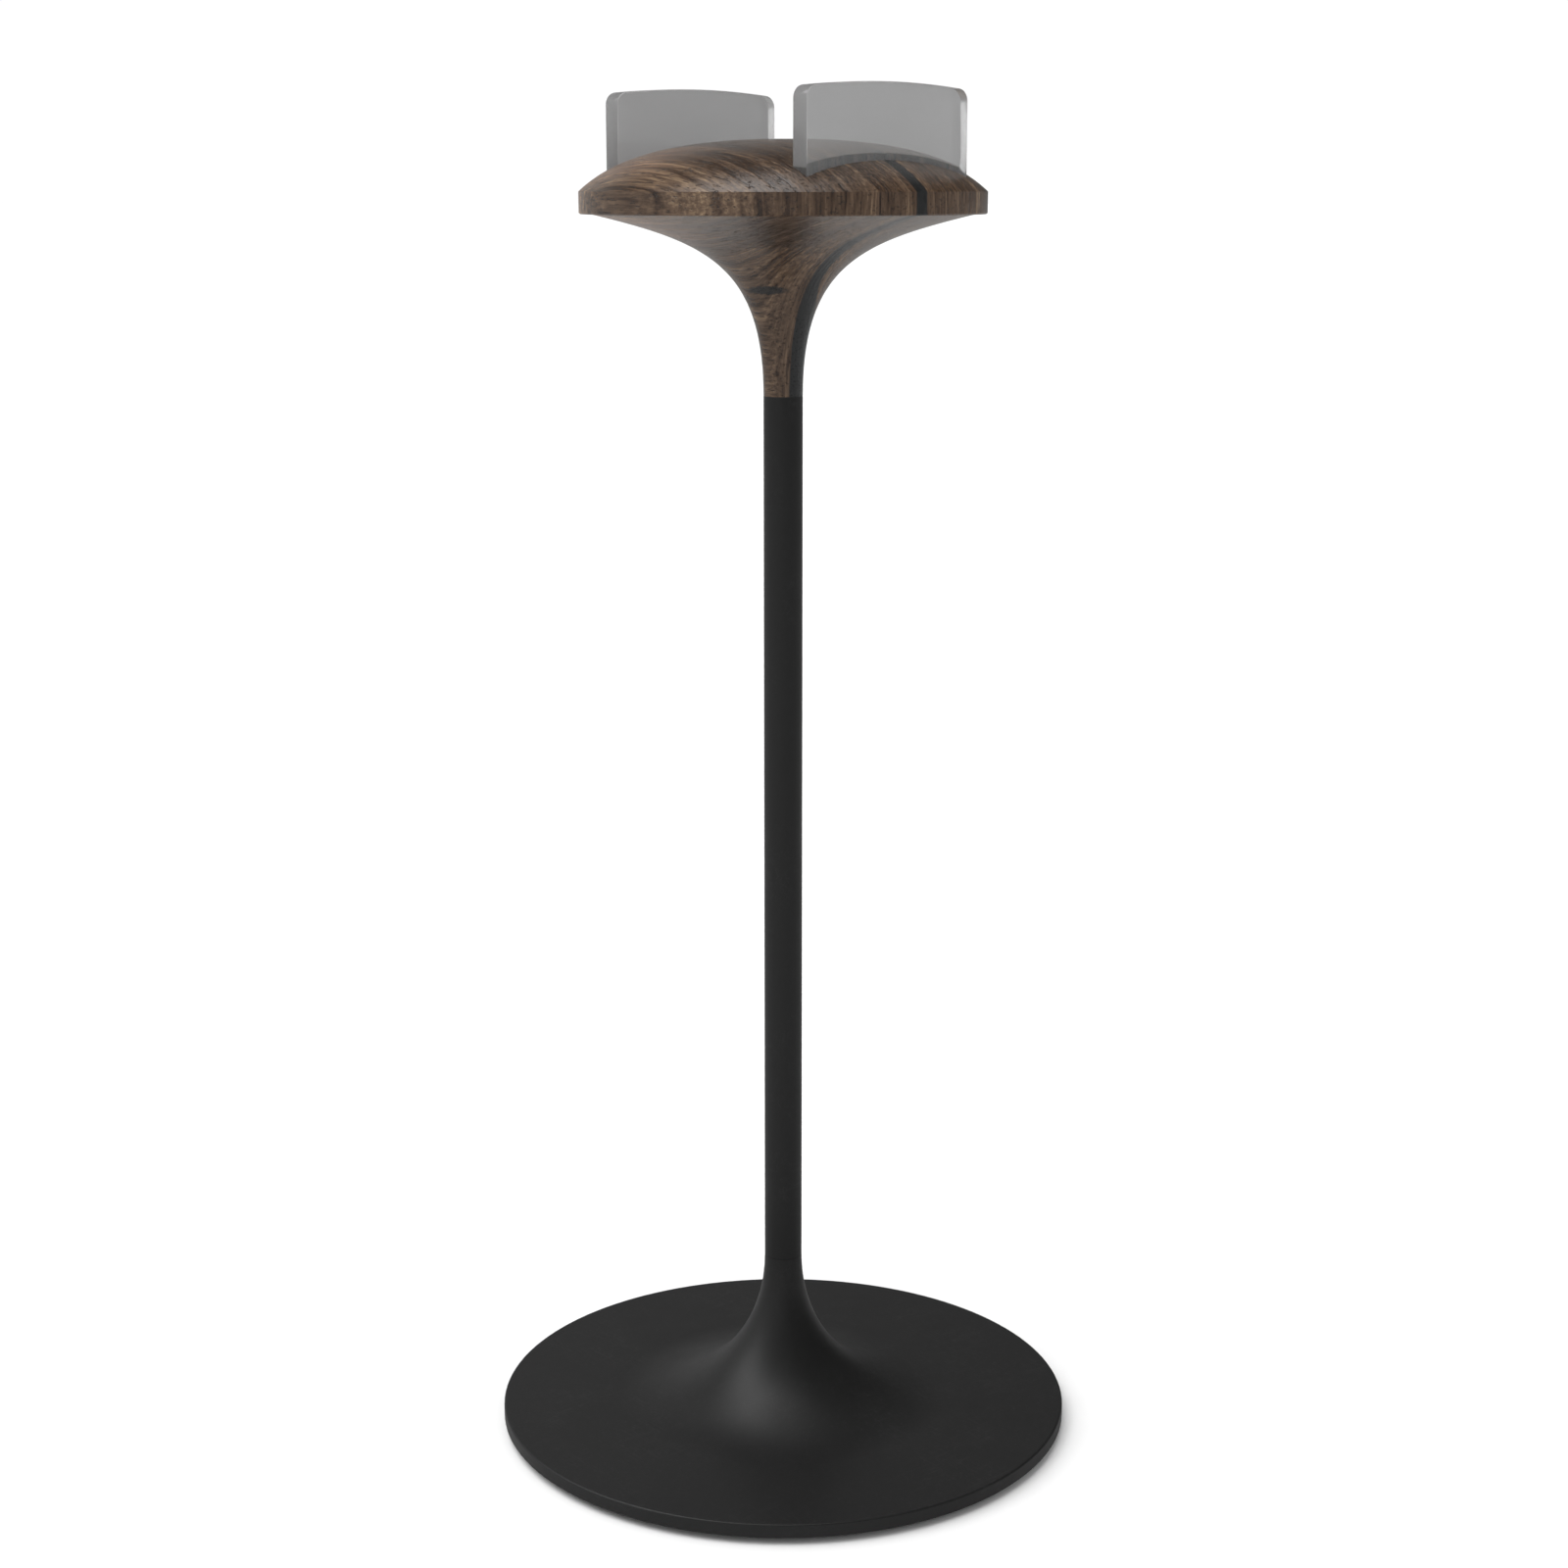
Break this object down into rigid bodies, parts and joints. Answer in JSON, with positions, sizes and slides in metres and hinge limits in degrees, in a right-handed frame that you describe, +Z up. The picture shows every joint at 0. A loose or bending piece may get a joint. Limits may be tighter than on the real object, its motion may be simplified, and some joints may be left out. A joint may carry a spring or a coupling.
{
  "type": "eyeglasses display stand",
  "caption": "Display stand with a round weighted base, slim stem and domed wooden head; folded eyewear rests on the dome between upright acrylic plates.",
  "frame": {"origin": "on the floor under the middle of the stand, at the bottom centre of its box", "axes": "+Z up along the stem; the plates run lengthwise along X and face along Y"},
  "size_m": [0.1225, 0.1224, 0.2831],
  "materials": {
    "pad_rubber": "matte",
    "base_coat": "matte powder coat",
    "stem_coat": "matte powder coat",
    "plated_steel": "zinc plated",
    "turned_brass": "turned",
    "walnut": "satin oiled",
    "grey_acrylic": "translucent grey, polished"
  },
  "bodies": {
    "root": {"foot_pad": "pad_rubber", "weighted_base": "base_coat", "base_washer": "plated_steel", "lock_washer": "plated_steel", "base_screw": "plated_steel", "stem_tube": "stem_coat", "lower_threaded_plug": "turned_brass", "upper_threaded_plug": "turned_brass", "head_stud": "plated_steel", "wooden_head": "walnut", "front_plate": "grey_acrylic", "rear_plate": "grey_acrylic"}
  },
  "joints": []
}
